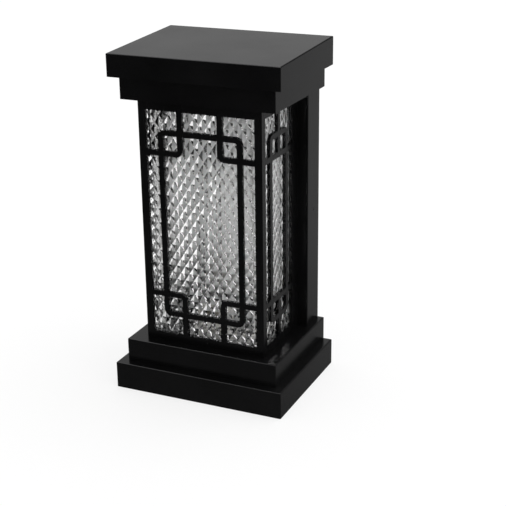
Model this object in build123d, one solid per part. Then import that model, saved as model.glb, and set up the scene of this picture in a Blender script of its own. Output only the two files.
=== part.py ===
from build123d import *
import os

# Square pedestal wall lantern: a fretwork cage with prismatic panes on a shallow back box,
# under a two-step flat roof and on a two-step base, hung on a slotted crossbar.
# Millimetres. Origin on the wall, at the middle of the crossbar. X to the right as seen
# from the room, Y into the wall, Z up.

# Cage and back box
CAGE_WIDTH = 113.0
CAGE_HEIGHT = 216.0
CAGE_REACH = 102.0
BOX_WIDTH = 131.5
BOX_DEPTH = 26.0

# Roof: an overhanging slab with a fall to the front, on a narrower collar
SLAB_WIDTH = 156.0
SLAB_REACH = 114.0
SLAB_HEIGHT = 19.5
SLAB_RISE = 5.0
COLLAR_WIDTH = 141.0
COLLAR_REACH = 107.0
COLLAR_HEIGHT = 19.5
COLLAR_WALL = 3.0
COLLAR_LEDGE = 11.0

# Base: two stepped trays
UPPER_WIDTH = 143.5
UPPER_REACH = 112.5
UPPER_HEIGHT = 21.0
PLINTH_STEP_SIDE = 8.0
PLINTH_STEP_FRONT = 8.5
LOWER_HEIGHT = 24.0
LOWER_LEDGE = 23.0
COVER_THICKNESS = 1.5
COVER_RECESS = 2.0
WEEP_DIAMETER = 4.0
WEEP_OFFSET = 40.0

# Castings
WALL = 2.0
EDGE_RADIUS = 1.0
HEAD_THICKNESS = 2.0
BOSS_DIAMETER = 9.0
ROOF_BOSS_DIAMETER = 10.0
THREAD_DEPTH = 12.0

# Fretwork
FRET_THICKNESS = 3.0
FRET_STILE = 6.75
FRET_RAIL = 8.0
FRET_BAR = 4.8
FRET_BEND = 4.0
LOOP_PITCH = 17.8
FRONT_RING_HALF_WIDTH = 36.2
SIDE_RING_HALF_WIDTH = 16.25
SIDE_OPENING_HALF_WIDTH = 28.0
RING_HALF_HEIGHT = 81.4
FRONT_TONGUE_OFFSET = 35.0
SIDE_TONGUE_OFFSET = 18.0
TONGUE_WIDTH = 12.0

# Prismatic panes
PANE_THICKNESS = 5.0
PRISM_WIDTH = 8.1
PRISM_HEIGHT = 12.6
PRISM_DEPTH = 1.8
PANE_BORDER = 0.5

# Reflector, tie rods and the lips that hold the panes
REFLECTOR_SHEET = 0.8
REFLECTOR_FLANGE = 12.0
REFLECTOR_SCREW_X = 34.0
REFLECTOR_SCREW_Z = 84.0
TIE_INSET = 4.5
TIE_NUT_ACROSS_FLATS = 5.5
TIE_NUT_HEIGHT = 2.4
TIE_TAIL = 3.2
PANE_LIP = 1.6
PANE_LIP_HEIGHT = 5.0

# Head plate window and eaves
HEAD_WINDOW_LAND = 4.0
HEAD_GUSSET = 8.0
EAVES_FRONT = 11.0
EAVES_BACK = 12.0
FRAME_SCREW_X = 50.0
COLLAR_SCREW_X = 30.0
TIER_SCREW_INSET = 11.0
COVER_SCREW_INSET = 9.0

# Lampholder
LAMP_RADIUS = 20.0
LAMP_FOOT_RADIUS = 18.5
LAMP_FOOT_HEIGHT = 16.0
LAMP_HEIGHT = 42.0
LAMP_TOP_ABOVE_BASE = 7.0
LAMP_FLOOR = 6.0
SHELL_BORE_RADIUS = 13.4
SHELL_WALL = 0.8
SHELL_HEIGHT = 30.0
SHELL_SINK = 2.0
SHELL_STEP = 2.0
CONTACT_RADIUS = 5.0
CONTACT_HEIGHT = 2.5
NIPPLE_RADIUS = 5.0
NIPPLE_BORE_RADIUS = 3.5
NIPPLE_DEPTH = 4.5
NIPPLE_TAIL = 5.0
NUT_ACROSS_FLATS = 14.0
NUT_HEIGHT = 3.0
STRAP_WIDTH = 18.0
STRAP_SHEET = 1.5
STRAP_HALF_SPAN = 36.0
STRAP_FOOT = 28.0
STRAP_SCREW_X = 58.0

# Wiring in the base and the back box
LEAD_DIAMETER = 2.4
LEAD_SPACING = 8.0
LEAD_ENTRY = 3.0
LEAD_RISE = 4.0
LEAD_BEND = 12.0
DUCT_FROM_WALL = 13.0
GROMMET_BORE = 12.0
GROMMET_NECK = 15.0
GROMMET_FLANGE = 19.0
GROMMET_LIP = 1.5
BLOCK_WIDTH = 20.0
BLOCK_DEPTH = 16.0
BLOCK_HEIGHT = 18.0
BLOCK_ABOVE_FLOOR = 20.0
BLOCK_ENTRY = 6.0
BLOCK_SCREW_OFFSET = 5.0
EARTH_X = 40.0
EARTH_BOSS_HEIGHT = 7.0
EARTH_ABOVE_FLOOR = 30.0
EARTH_WASHER_DIAMETER = 10.0
EARTH_WASHER_THICKNESS = 1.0
GASKET_WIDTH = 5.0
GASKET_THICKNESS = 3.0
GASKET_GAP = 26.0

# Crossbar
BAR_WIDTH = 21.5
BAR_SHEET = 1.5
BAR_TAB = 18.0
BAR_TAB_CORNER = 3.5
BAR_END_GAP = 0.75
BAR_BEND = 1.5
SLOT_SPACING = 84.0
SLOT_LENGTH = 22.5
SLOT_WIDTH = 5.6
ARC_SLOT_RADIUS = 16.0
ARC_SLOT_ANGLE = 46.0
ARC_SLOT_WIDTH = 4.0
LOCK_HOLE_FROM_EDGE = 6.5
LOCK_DIAMETER = 5.0
LOCK_LENGTH = 5.0
LOCK_CHAMFER = 1.2
KEY_HOLE_DIAMETER = 3.2

# Fasteners and clearances
M4 = 4.0
M4_HEAD = 7.5
M4_HEAD_HEIGHT = 2.6
M3 = 3.0
M3_HEAD = 5.6
M3_HEAD_HEIGHT = 1.7
HEAD_CHAMFER = 0.6
SCREW_BITE = 8.0
SCREW_CLEARANCE = 0.5
THREAD_CLEARANCE = 0.1
SLIP = 0.3
TONGUE_CLEARANCE = 0.2

# Levels and planes worked out from the sizes above
LOWER_WIDTH = UPPER_WIDTH + 2 * PLINTH_STEP_SIDE
LOWER_REACH = UPPER_REACH + PLINTH_STEP_FRONT
CAGE_TOP = CAGE_HEIGHT / 2
CAGE_FOOT = -CAGE_HEIGHT / 2
HEAD_TOP = CAGE_TOP + HEAD_THICKNESS
SLAB_FOOT = CAGE_TOP + COLLAR_HEIGHT
UPPER_FOOT = CAGE_FOOT - UPPER_HEIGHT
LOWER_FOOT = UPPER_FOOT - LOWER_HEIGHT
UPPER_DECK = CAGE_FOOT - WALL
LOWER_DECK = UPPER_FOOT - WALL
COVER_FOOT = LOWER_FOOT + COVER_RECESS
COVER_TOP = COVER_FOOT + COVER_THICKNESS
FRET_FRONT = -CAGE_REACH
FRET_BACK = FRET_FRONT + FRET_THICKNESS
BOX_FRONT = -BOX_DEPTH
PANE_FRONT = FRET_BACK + SLIP
PANE_BACK = PANE_FRONT + PANE_THICKNESS
SIDE_FRET_IN = CAGE_WIDTH / 2 - FRET_THICKNESS
SIDE_PANE_OUT = SIDE_FRET_IN - SLIP
SIDE_PANE_IN = SIDE_PANE_OUT - PANE_THICKNESS
INSIDE_X = SIDE_PANE_IN - SLIP
INSIDE_FRONT = PANE_BACK + SLIP
REFLECTOR_FACE = BOX_FRONT - REFLECTOR_SHEET
INSIDE_HALF_HEIGHT = CAGE_HEIGHT / 2 - SLIP
SIDE_CENTRE = FRET_FRONT + FRET_STILE + SIDE_OPENING_HALF_WIDTH
LAMP_Y = (INSIDE_FRONT + REFLECTOR_FACE) / 2
LAMP_TOP = CAGE_FOOT + LAMP_TOP_ABOVE_BASE
LAMP_FOOT = LAMP_TOP - LAMP_HEIGHT
TIE_X = INSIDE_X - TIE_INSET
TIE_Y = INSIDE_FRONT + TIE_INSET
ROOF_SCREWS = [
    (side * (COLLAR_WIDTH / 2 - COLLAR_WALL - ROOF_BOSS_DIAMETER / 2 + THREAD_CLEARANCE), y)
    for side in (-1, 1)
    for y in (FRET_FRONT + EAVES_FRONT, BOX_FRONT - EAVES_BACK)
]
FRAME_SCREWS = [(side * FRAME_SCREW_X, -DUCT_FROM_WALL) for side in (-1, 1)]
TIE_RODS = [(side * TIE_X, TIE_Y) for side in (-1, 1)]
TIER_SCREWS = [
    (side * (UPPER_WIDTH / 2 - TIER_SCREW_INSET), y)
    for side in (-1, 1)
    for y in (TIER_SCREW_INSET - UPPER_REACH, -TIER_SCREW_INSET)
]
COVER_SCREWS = [
    (side * (LOWER_WIDTH / 2 - COVER_SCREW_INSET), y)
    for side in (-1, 1)
    for y in (COVER_SCREW_INSET - LOWER_REACH, -COVER_SCREW_INSET)
]
COLLAR_SCREWS = [
    (side * COLLAR_SCREW_X, y)
    for side in (-1, 1)
    for y in (COLLAR_WALL + COLLAR_LEDGE / 2 - COLLAR_REACH, -COLLAR_WALL - COLLAR_LEDGE / 2)
]


# A block between two corners
def block(x0, x1, y0, y1, z0, z1):
    middle = Pos((x0 + x1) / 2, (y0 + y1) / 2, (z0 + z1) / 2)
    return middle * Box(x1 - x0, y1 - y0, z1 - z0)


# An upright round bar or hole between two levels
def rod(x, y, diameter, z0, z1):
    return Pos(x, y, (z0 + z1) / 2) * Cylinder(diameter / 2, z1 - z0)


# The same upright shape at several places
def rods(places, diameter, z0, z1):
    return [rod(x, y, diameter, z0, z1) for x, y in places]


# A pan-head screw, seat at the origin, shank down
def screw(diameter, head, head_height, length):
    cap = Pos(0, 0, head_height / 2) * Cylinder(head / 2, head_height)
    cap = chamfer(cap.edges().group_by(Axis.Z)[-1], HEAD_CHAMFER)
    return cap + Pos(0, 0, -length / 2) * Cylinder(diameter / 2, length)


# The same screw at several places, head up or head down
def screws(places, z, pattern, head_up):
    turn = Rot(0, 0, 0) if head_up else Rot(180, 0, 0)
    return Compound([Pos(x, y, z) * turn * pattern for x, y in places])


# The two upright front edges of a tray and its rim at the top
def soften(tray, at_top):
    upright = tray.edges().filter_by(Axis.Z).group_by(Axis.Y)[0]
    rim = tray.faces().sort_by(Axis.Z)[-1].edges() if at_top else []
    return fillet(list(upright) + list(rim), EDGE_RADIUS)


# Back box: a shallow tray open to the wall, with bosses for the frame and earth screws
def back_box():
    half = BOX_WIDTH / 2
    tray = block(-half, half, BOX_FRONT, 0, CAGE_FOOT, CAGE_TOP)
    tray = fillet(tray.edges().filter_by(Axis.Z).group_by(Axis.Y)[0], EDGE_RADIUS)
    tray -= block(
        -half + WALL, half - WALL, BOX_FRONT + WALL, 0, CAGE_FOOT + WALL, CAGE_TOP - WALL
    )
    reach = WALL + THREAD_DEPTH
    tray += rods(FRAME_SCREWS, BOSS_DIAMETER, CAGE_TOP - reach, CAGE_TOP)
    tray += rods(FRAME_SCREWS, BOSS_DIAMETER, CAGE_FOOT, CAGE_FOOT + reach)
    tray -= rods(FRAME_SCREWS, M4 + THREAD_CLEARANCE, CAGE_TOP - reach, CAGE_TOP)
    tray -= rods(FRAME_SCREWS, M4 + THREAD_CLEARANCE, CAGE_FOOT, CAGE_FOOT + reach)
    tray += Pos(*earth_point()) * Rot(90, 0, 0) * Cylinder(
        BOSS_DIAMETER / 2, EARTH_BOSS_HEIGHT, align=(Align.CENTER, Align.CENTER, Align.MIN)
    )
    tray -= Pos(*earth_point()) * Rot(90, 0, 0) * Cylinder(
        (M4 + THREAD_CLEARANCE) / 2, EARTH_BOSS_HEIGHT, align=(Align.CENTER, Align.CENTER, Align.MIN)
    )
    tray -= rod(0, -DUCT_FROM_WALL, GROMMET_NECK + SLIP, CAGE_FOOT, CAGE_FOOT + WALL)
    lock = Rot(0, 90, 0) * Cylinder(KEY_HOLE_DIAMETER / 2, BOX_WIDTH)
    tray -= Pos(0, -lock_depth(), 0) * lock
    for x, z in reflector_places():
        hole = Rot(90, 0, 0) * Cylinder((M3 + THREAD_CLEARANCE) / 2, WALL)
        tray -= Pos(x, BOX_FRONT + WALL / 2, z) * hole
    return tray


# Where the earth screw's boss ends, on the inside of the box front
def earth_point():
    return EARTH_X, BOX_FRONT + WALL + EARTH_BOSS_HEIGHT, CAGE_FOOT + EARTH_ABOVE_FLOOR


# How far the lock screws stand from the wall
def lock_depth():
    return BAR_TAB - LOCK_HOLE_FROM_EDGE


# Foam seal in the mouth of the back box, parted where the crossbar's ends pass
def back_gasket():
    half = BOX_WIDTH / 2 - WALL
    tall = CAGE_TOP - WALL
    ring = block(-half, half, -GASKET_THICKNESS, 0, -tall, tall)
    ring -= block(
        GASKET_WIDTH - half, half - GASKET_WIDTH, -GASKET_THICKNESS, 0,
        GASKET_WIDTH - tall, tall - GASKET_WIDTH,
    )
    return ring - block(-half, half, -GASKET_THICKNESS, 0, -GASKET_GAP / 2, GASKET_GAP / 2)


# Bright reflector: a bent sheet whose side flanges press on the side panes
def reflector_tray():
    tray = block(
        -INSIDE_X, INSIDE_X, BOX_FRONT - REFLECTOR_FLANGE, BOX_FRONT,
        -INSIDE_HALF_HEIGHT, INSIDE_HALF_HEIGHT,
    )
    inner = INSIDE_X - REFLECTOR_SHEET
    tray -= block(
        -inner, inner, BOX_FRONT - REFLECTOR_FLANGE, REFLECTOR_FACE,
        -INSIDE_HALF_HEIGHT, INSIDE_HALF_HEIGHT,
    )
    for x, z in reflector_places():
        hole = Rot(90, 0, 0) * Cylinder((M3 + SCREW_CLEARANCE) / 2, REFLECTOR_SHEET)
        tray -= Pos(x, BOX_FRONT - REFLECTOR_SHEET / 2, z) * hole
    return tray


# The four corners where the reflector is screwed to the box
def reflector_places():
    return [
        (x, z)
        for x in (-REFLECTOR_SCREW_X, REFLECTOR_SCREW_X)
        for z in (-REFLECTOR_SCREW_Z, REFLECTOR_SCREW_Z)
    ]


def reflector_screws():
    one = Rot(90, 0, 0) * screw(M3, M3_HEAD, M3_HEAD_HEIGHT, REFLECTOR_SHEET + WALL)
    return Compound([Pos(x, REFLECTOR_FACE, z) * one for x, z in reflector_places()])


# A bar bent round a rectangle, drawn flat
def bar_ring(x0, x1, z0, z1):
    middle = Pos((x0 + x1) / 2, (z0 + z1) / 2)
    wide, tall = x1 - x0, z1 - z0
    outer = RectangleRounded(wide + FRET_BAR, tall + FRET_BAR, FRET_BEND + FRET_BAR / 2)
    inner = RectangleRounded(wide - FRET_BAR, tall - FRET_BAR, FRET_BEND - FRET_BAR / 2)
    return middle * (outer - inner)


# A frame between an outline and an opening, both given by their limits, with its tongues
def fret_frame(x0, x1, opening_x0, opening_x1, tongues):
    tall = CAGE_HEIGHT - 2 * FRET_RAIL
    face = Pos((x0 + x1) / 2, 0) * Rectangle(x1 - x0, CAGE_HEIGHT)
    face -= Pos((opening_x0 + opening_x1) / 2, 0) * Rectangle(opening_x1 - opening_x0, tall)
    for x in tongues:
        for z, height in ((CAGE_TOP, HEAD_THICKNESS), (CAGE_FOOT, WALL)):
            middle = z + height / 2 if z > 0 else z - height / 2
            face += Pos(x, middle) * Rectangle(TONGUE_WIDTH, height)
    return face


# Front fret: a ring crossed at each corner by an angled bar from rail to stile
def front_fret():
    half = CAGE_WIDTH / 2
    opening = half - FRET_STILE
    face = fret_frame(
        -half, half, -opening, opening, (-FRONT_TONGUE_OFFSET, FRONT_TONGUE_OFFSET)
    )
    face += bar_ring(
        -FRONT_RING_HALF_WIDTH, FRONT_RING_HALF_WIDTH, -RING_HALF_HEIGHT, RING_HALF_HEIGHT
    )
    in_x = FRONT_RING_HALF_WIDTH - LOOP_PITCH
    in_z = RING_HALF_HEIGHT - LOOP_PITCH
    reach = Rectangle(CAGE_WIDTH - FRET_STILE, CAGE_HEIGHT - FRET_RAIL)
    for x0, x1 in ((in_x, CAGE_WIDTH), (-CAGE_WIDTH, -in_x)):
        for z0, z1 in ((in_z, CAGE_HEIGHT), (-CAGE_HEIGHT, -in_z)):
            face += bar_ring(x0, x1, z0, z1) & reach
    return extrude(Plane.XZ.offset(-FRET_BACK) * face, FRET_THICKNESS)


# Side fret: a narrow ring with a cross bar and a short middle bar at each end
def right_fret():
    opening_front = SIDE_CENTRE - SIDE_OPENING_HALF_WIDTH
    opening_back = SIDE_CENTRE + SIDE_OPENING_HALF_WIDTH
    face = fret_frame(
        FRET_BACK, BOX_FRONT, opening_front, opening_back,
        (SIDE_CENTRE - SIDE_TONGUE_OFFSET, SIDE_CENTRE + SIDE_TONGUE_OFFSET),
    )
    face += bar_ring(
        SIDE_CENTRE - SIDE_RING_HALF_WIDTH, SIDE_CENTRE + SIDE_RING_HALF_WIDTH,
        -RING_HALF_HEIGHT, RING_HALF_HEIGHT,
    )
    in_z = RING_HALF_HEIGHT - LOOP_PITCH
    rail_z = CAGE_TOP - FRET_RAIL / 2
    for end in (-1, 1):
        face += Pos(SIDE_CENTRE, end * in_z) * Rectangle(2 * SIDE_OPENING_HALF_WIDTH, FRET_BAR)
        face += Pos(SIDE_CENTRE, end * (in_z + rail_z) / 2) * Rectangle(FRET_BAR, rail_z - in_z)
    return extrude(Plane.YZ.offset(SIDE_FRET_IN) * face, FRET_THICKNESS)


def left_fret():
    return mirror(right_fret(), Plane.YZ)


# A pressed pane: smooth outside, its inner face sunk into rows of pointed diamonds within a plain border
def prism_pane(width, height):
    cell_x, cell_z = PRISM_WIDTH / 2, PRISM_HEIGHT / 2
    across = int((width / 2 - PANE_BORDER) / cell_x) - 1
    along = int((height / 2 - PANE_BORDER) / cell_z) - 1

    # Half cells sit one step further out where a diamond ends the row
    def step(i, j):
        return 1 - (i + j) % 2

    right = [(across + step(across, j), j) for j in range(-along, along + 1)]
    top = [(i, along + step(i, along)) for i in range(across, -across - 1, -1)]
    loop = right + top + [(-i, -j) for i, j in right + top]
    loop = [point for k, point in enumerate(loop) if point != loop[k - 1]]
    at = [Vector(i * cell_x, j * cell_z, PANE_THICKNESS) for i, j in loop]

    plate = Pos(0, 0, PANE_THICKNESS / 2) * Box(width, height, PANE_THICKNESS)
    faces = plate.faces().sort_by(Axis.Z)
    rim = faces[-1].outer_wire()
    sheet = [Face(rim, [Wire.make_polygon(at)])] + list(faces[:-1])
    for i in range(-across, across + 1):
        for j in range(-along, along + 1):
            if (i + j) % 2 == 0:
                pit = Vector(i * cell_x, j * cell_z, PANE_THICKNESS - PRISM_DEPTH)
                ring = [
                    Vector((i + di) * cell_x, (j + dj) * cell_z, PANE_THICKNESS)
                    for di, dj in ((1, 0), (0, 1), (-1, 0), (0, -1))
                ]
                for k in range(4):
                    sheet.append(Face(Wire.make_polygon([ring[k - 1], ring[k], pit])))
    return Solid(Shell(sheet))


def front_pane():
    pane = prism_pane(2 * SIDE_PANE_OUT, 2 * INSIDE_HALF_HEIGHT)
    return Plane.back.offset(PANE_FRONT) * pane


def right_pane():
    front, back = INSIDE_FRONT, BOX_FRONT - SLIP
    pane = prism_pane(back - front, 2 * INSIDE_HALF_HEIGHT)
    return Plane.left.offset(-SIDE_PANE_OUT) * Pos(-(front + back) / 2, 0, 0) * pane


def left_pane():
    return mirror(right_pane(), Plane.YZ)


# Tie rod: a threaded steel rod in each front corner that pulls the head plate down on the cage
def right_tie_rod():
    return rod(TIE_X, TIE_Y, M3, UPPER_DECK - TIE_TAIL, HEAD_TOP + TIE_TAIL)


def left_tie_rod():
    return mirror(right_tie_rod(), Plane.YZ)


# Nuts on both ends of the tie rods
def tie_nuts():
    nut = extrude(RegularPolygon(TIE_NUT_ACROSS_FLATS / 2, 6, major_radius=False), TIE_NUT_HEIGHT)
    nut -= Pos(0, 0, TIE_NUT_HEIGHT / 2) * Cylinder((M3 + THREAD_CLEARANCE) / 2, TIE_NUT_HEIGHT)
    seats = [(x, y, z) for x, y in TIE_RODS for z in (UPPER_DECK - TIE_NUT_HEIGHT, HEAD_TOP)]
    return Compound([Pos(*seat) * nut for seat in seats])


# Lip that stands behind the ends of the three panes, between two levels
def pane_lip(z0, z1):
    back = BOX_FRONT - REFLECTOR_FLANGE - SLIP
    inner = INSIDE_X - PANE_LIP
    lip = block(-INSIDE_X, INSIDE_X, INSIDE_FRONT, back, z0, z1)
    return lip - block(-inner, inner, INSIDE_FRONT + PANE_LIP, back, z0, z1)


# Slots for the tongues of the three frets, between two levels
def tongue_slots(z0, z1):
    deep = FRET_THICKNESS / 2 + TONGUE_CLEARANCE
    long = TONGUE_WIDTH / 2 + TONGUE_CLEARANCE
    front = (FRET_FRONT + FRET_BACK) / 2
    side = SIDE_FRET_IN + FRET_THICKNESS / 2
    slots = [
        block(x - long, x + long, front - deep, front + deep, z0, z1)
        for x in (-FRONT_TONGUE_OFFSET, FRONT_TONGUE_OFFSET)
    ]
    for x in (-side, side):
        for y in (SIDE_CENTRE - SIDE_TONGUE_OFFSET, SIDE_CENTRE + SIDE_TONGUE_OFFSET):
            slots.append(block(x - deep, x + deep, y - long, y + long, z0, z1))
    return slots


# Head plate: closes the eaves and clamps the cage, with a window for the lamp
def head_plate():
    inset = COLLAR_WALL + SLIP
    half = COLLAR_WIDTH / 2 - inset
    plate = block(-half, half, inset - COLLAR_REACH, -inset, CAGE_TOP, HEAD_TOP)
    window_x = INSIDE_X - HEAD_WINDOW_LAND
    window = block(
        -window_x, window_x, INSIDE_FRONT + HEAD_WINDOW_LAND, REFLECTOR_FACE - HEAD_WINDOW_LAND,
        CAGE_TOP, HEAD_TOP,
    )
    corners = window.edges().filter_by(Axis.Z).group_by(Axis.Y)[0]
    plate -= chamfer(corners, HEAD_GUSSET)
    plate -= tongue_slots(CAGE_TOP, HEAD_TOP)
    plate -= rods(ROOF_SCREWS + FRAME_SCREWS, M4 + SCREW_CLEARANCE, CAGE_TOP, HEAD_TOP)
    plate -= rods(TIE_RODS, M3 + SCREW_CLEARANCE, CAGE_TOP, HEAD_TOP)
    return plate + pane_lip(CAGE_TOP - PANE_LIP_HEIGHT, CAGE_TOP)


# Upper base tray: carries the cage, its deck pierced for the lampholder and the leads
def base_upper_tier():
    half = UPPER_WIDTH / 2
    tray = soften(block(-half, half, -UPPER_REACH, 0, UPPER_FOOT, CAGE_FOOT), True)
    tray -= block(-half + WALL, half - WALL, WALL - UPPER_REACH, -WALL, UPPER_FOOT, UPPER_DECK)
    tray += rods(TIER_SCREWS, BOSS_DIAMETER, UPPER_FOOT, UPPER_DECK)
    tray -= rods(TIER_SCREWS, M4 + THREAD_CLEARANCE, UPPER_FOOT, UPPER_FOOT + THREAD_DEPTH)
    tray -= rod(0, LAMP_Y, 2 * LAMP_RADIUS + 2 * SCREW_CLEARANCE, UPPER_DECK, CAGE_FOOT)
    tray -= rod(0, -DUCT_FROM_WALL, GROMMET_NECK + SLIP, UPPER_DECK, CAGE_FOOT)
    tray -= tongue_slots(UPPER_DECK, CAGE_FOOT)
    tray -= rods(FRAME_SCREWS, M4 + SCREW_CLEARANCE, UPPER_DECK, CAGE_FOOT)
    tray -= rods(TIE_RODS, M3 + SCREW_CLEARANCE, UPPER_DECK, CAGE_FOOT)
    return tray + pane_lip(CAGE_FOOT, CAGE_FOOT + PANE_LIP_HEIGHT)


# Lower base tray: the plinth, with a wide window under the lampholder
def base_lower_tier():
    half = LOWER_WIDTH / 2
    tray = soften(block(-half, half, -LOWER_REACH, 0, LOWER_FOOT, UPPER_FOOT), True)
    tray -= block(-half + WALL, half - WALL, WALL - LOWER_REACH, -WALL, LOWER_FOOT, LOWER_DECK)
    window_x = UPPER_WIDTH / 2 - LOWER_LEDGE
    tray -= block(
        -window_x, window_x, LOWER_LEDGE - UPPER_REACH, -WALL - SLIP, LOWER_DECK, UPPER_FOOT
    )
    tray += rods(COVER_SCREWS, BOSS_DIAMETER, COVER_TOP, LOWER_DECK)
    tray -= rods(COVER_SCREWS, M3 + THREAD_CLEARANCE, COVER_TOP, COVER_TOP + THREAD_DEPTH)
    tray -= rods(TIER_SCREWS, M4 + SCREW_CLEARANCE, LOWER_DECK, UPPER_FOOT)
    places = [(-STRAP_SCREW_X, LAMP_Y), (STRAP_SCREW_X, LAMP_Y)]
    tray -= rods(places, M4 + THREAD_CLEARANCE, LOWER_DECK, UPPER_FOOT)
    return tray


# Bottom cover: a recessed sheet with weep holes
def bottom_cover():
    inset = WALL + SLIP
    half = LOWER_WIDTH / 2 - inset
    sheet = block(-half, half, inset - LOWER_REACH, -inset, COVER_FOOT, COVER_TOP)
    sheet -= rods(COVER_SCREWS, M3 + SCREW_CLEARANCE, COVER_FOOT, COVER_TOP)
    weeps = [
        (x, LAMP_Y + y)
        for x in (-WEEP_OFFSET, WEEP_OFFSET)
        for y in (-WEEP_OFFSET / 2, WEEP_OFFSET / 2)
    ]
    return sheet - rods(weeps, WEEP_DIAMETER, COVER_FOOT, COVER_TOP)


# Roof slab: a hollow lid that falls to the front
def roof_slab():
    half = SLAB_WIDTH / 2
    back = SLAB_FOOT + SLAB_HEIGHT + SLAB_RISE
    front = SLAB_FOOT + SLAB_HEIGHT
    outline = Polyline(
        (-SLAB_REACH, SLAB_FOOT), (0, SLAB_FOOT), (0, back), (-SLAB_REACH, front), close=True
    )
    lid = extrude(Plane.YZ.offset(-half) * make_face(outline), SLAB_WIDTH)
    crown = lid.faces().sort_by(Axis.Z)[-1].edges()
    lid = fillet(list(crown) + list(lid.edges().filter_by(Axis.Z).group_by(Axis.Y)[0]), EDGE_RADIUS)
    slope = SLAB_RISE / SLAB_REACH
    hollow = Polyline(
        (WALL - SLAB_REACH, SLAB_FOOT), (-WALL, SLAB_FOOT),
        (-WALL, back - WALL - slope * WALL), (WALL - SLAB_REACH, front - WALL + slope * WALL),
        close=True,
    )
    void = extrude(Plane.YZ.offset(WALL - half) * make_face(hollow), SLAB_WIDTH - 2 * WALL)
    shell = lid - void
    foot = SLAB_FOOT + WALL
    shell += [post & void for post in rods(COLLAR_SCREWS, BOSS_DIAMETER, foot, back)]
    shell -= rods(COLLAR_SCREWS, M4 + THREAD_CLEARANCE, foot, foot + THREAD_DEPTH)
    return shell


# Roof collar: a skirt with a flange that closes the slab, and bosses for the roof screws
def roof_collar():
    half = COLLAR_WIDTH / 2
    skirt = soften(block(-half, half, -COLLAR_REACH, 0, CAGE_TOP, SLAB_FOOT), False)
    in_x, in_y = half - COLLAR_WALL, COLLAR_REACH - COLLAR_WALL
    skirt -= block(-in_x, in_x, -in_y, -COLLAR_WALL, CAGE_TOP, SLAB_FOOT)
    inset = WALL + SLIP
    wide = SLAB_WIDTH / 2 - inset
    flange = block(-wide, wide, inset - SLAB_REACH, -inset, SLAB_FOOT, SLAB_FOOT + WALL)
    flange -= block(
        COLLAR_LEDGE - in_x, in_x - COLLAR_LEDGE, COLLAR_LEDGE - in_y, -COLLAR_WALL - COLLAR_LEDGE,
        SLAB_FOOT, SLAB_FOOT + WALL,
    )
    collar = skirt + flange
    collar += rods(ROOF_SCREWS, ROOF_BOSS_DIAMETER, HEAD_TOP + SLIP, SLAB_FOOT)
    collar -= rods(ROOF_SCREWS, M4 + SCREW_CLEARANCE, HEAD_TOP, HEAD_TOP + THREAD_DEPTH)
    collar -= rods(COLLAR_SCREWS, M4 + SCREW_CLEARANCE, SLAB_FOOT, SLAB_FOOT + WALL)
    return collar


# The screws that hold the castings together
def roof_screws():
    one = screw(M4, M4_HEAD, M4_HEAD_HEIGHT, HEAD_THICKNESS + SCREW_BITE)
    return screws(ROOF_SCREWS, CAGE_TOP, one, False)


def collar_screws():
    one = screw(M4, M4_HEAD, M4_HEAD_HEIGHT, WALL + SCREW_BITE)
    return screws(COLLAR_SCREWS, SLAB_FOOT, one, False)


def frame_screws():
    top = screw(M4, M4_HEAD, M4_HEAD_HEIGHT, HEAD_THICKNESS + SCREW_BITE)
    bottom = screw(M4, M4_HEAD, M4_HEAD_HEIGHT, WALL + SCREW_BITE)
    upper = screws(FRAME_SCREWS, HEAD_TOP, top, True)
    lower = screws(FRAME_SCREWS, UPPER_DECK, bottom, False)
    return Compound(list(upper.solids()) + list(lower.solids()))


def tier_screws():
    return screws(TIER_SCREWS, LOWER_DECK, screw(M4, M4_HEAD, M4_HEAD_HEIGHT, WALL + SCREW_BITE), False)


def cover_screws():
    one = screw(M3, M3_HEAD, M3_HEAD_HEIGHT, COVER_THICKNESS + SCREW_BITE)
    return screws(COVER_SCREWS, COVER_FOOT, one, False)


def strap_screws():
    one = screw(M4, M4_HEAD, M4_HEAD_HEIGHT, STRAP_SHEET + WALL)
    places = [(-STRAP_SCREW_X, LAMP_Y), (STRAP_SCREW_X, LAMP_Y)]
    return screws(places, LOWER_DECK - STRAP_SHEET, one, False)


# Lampholder: a stepped porcelain cup with a threaded metal shell and a centre contact
def lampholder_body():
    floor = LAMP_FOOT + LAMP_FLOOR
    seat = LAMP_TOP - SHELL_SINK - SHELL_HEIGHT
    shell = SHELL_BORE_RADIUS + SHELL_WALL
    cup = rod(0, LAMP_Y, 2 * LAMP_FOOT_RADIUS, LAMP_FOOT, LAMP_FOOT + LAMP_FOOT_HEIGHT)
    cup += rod(0, LAMP_Y, 2 * LAMP_RADIUS, LAMP_FOOT + LAMP_FOOT_HEIGHT, LAMP_TOP)
    cup = fillet(cup.faces().sort_by(Axis.Z)[-1].edges(), EDGE_RADIUS)
    cup -= rod(0, LAMP_Y, 2 * (shell + THREAD_CLEARANCE), seat, LAMP_TOP)
    cup -= rod(0, LAMP_Y, 2 * (shell - SHELL_STEP), floor, seat)
    cup -= rod(0, LAMP_Y, 2 * NIPPLE_RADIUS + THREAD_CLEARANCE, LAMP_FOOT, LAMP_FOOT + NIPPLE_DEPTH)
    for x in lead_rows():
        socket = Rot(90, 0, 0) * Cylinder((LEAD_DIAMETER + SLIP) / 2, LAMP_FOOT_RADIUS)
        y = LAMP_Y + lead_start() + LAMP_FOOT_RADIUS / 2
        cup -= Pos(x, y, LAMP_FOOT + LEAD_RISE) * socket
    return cup


# The two leads' places across the lamp, and where they start from its axis
def lead_rows():
    return -LEAD_SPACING / 2, LEAD_SPACING / 2


def lead_start():
    surface = (LAMP_FOOT_RADIUS**2 - (LEAD_SPACING / 2) ** 2) ** 0.5
    return surface - LEAD_ENTRY


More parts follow.
